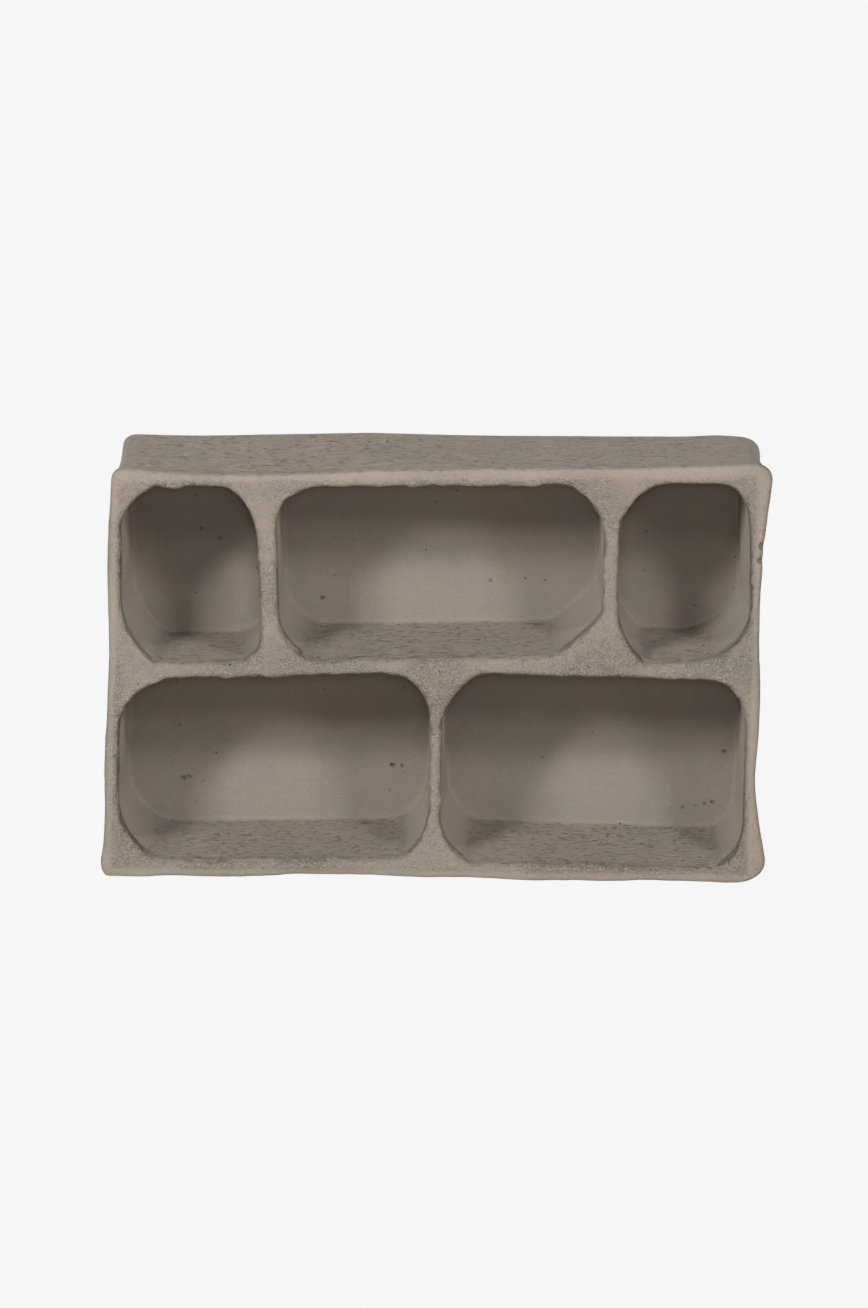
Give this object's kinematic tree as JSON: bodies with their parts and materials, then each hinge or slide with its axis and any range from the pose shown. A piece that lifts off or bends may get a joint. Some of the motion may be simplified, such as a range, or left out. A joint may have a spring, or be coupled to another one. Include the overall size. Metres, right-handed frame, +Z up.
{
  "type": "compartment display shelf",
  "caption": "Handmade-looking papier-mache display shelf, open at the front, with rounded compartments in an upper and a lower row and keyhole hangers let into the back.",
  "frame": {"origin": "on the ground under the middle of the shelf's width and depth", "axes": "+X to the shelf's right seen from the front, +Y from the open front to the back, +Z up"},
  "size_m": [0.5568, 0.14, 0.357],
  "materials": {
    "paper_pulp": "matte dry paper pulp, taupe, brushed and slightly crumbly",
    "greyboard": "plain grey solid board, hidden",
    "hanger_wood": "unfinished softwood",
    "hanger_steel": "zinc-plated sheet",
    "screw_steel": "zinc-plated"
  },
  "bodies": {
    "root": {"front_rim": "paper_pulp", "outer_wrap": "paper_pulp", "back_skin": "paper_pulp", "lining_upper_left": "paper_pulp", "lining_upper_middle": "paper_pulp", "lining_upper_right": "paper_pulp", "lining_lower_left": "paper_pulp", "lining_lower_right": "paper_pulp", "core_top_board": "greyboard", "core_bottom_board": "greyboard", "core_left_board": "greyboard", "core_right_board": "greyboard", "core_shelf_board": "greyboard", "core_upper_left_divider": "greyboard", "core_upper_right_divider": "greyboard", "core_lower_divider": "greyboard", "back_board": "greyboard", "hanger_block_left": "hanger_wood", "hanger_block_right": "hanger_wood", "hanger_plate_left": "hanger_steel", "hanger_plate_right": "hanger_steel", "hanger_screws": "screw_steel"}
  },
  "joints": []
}
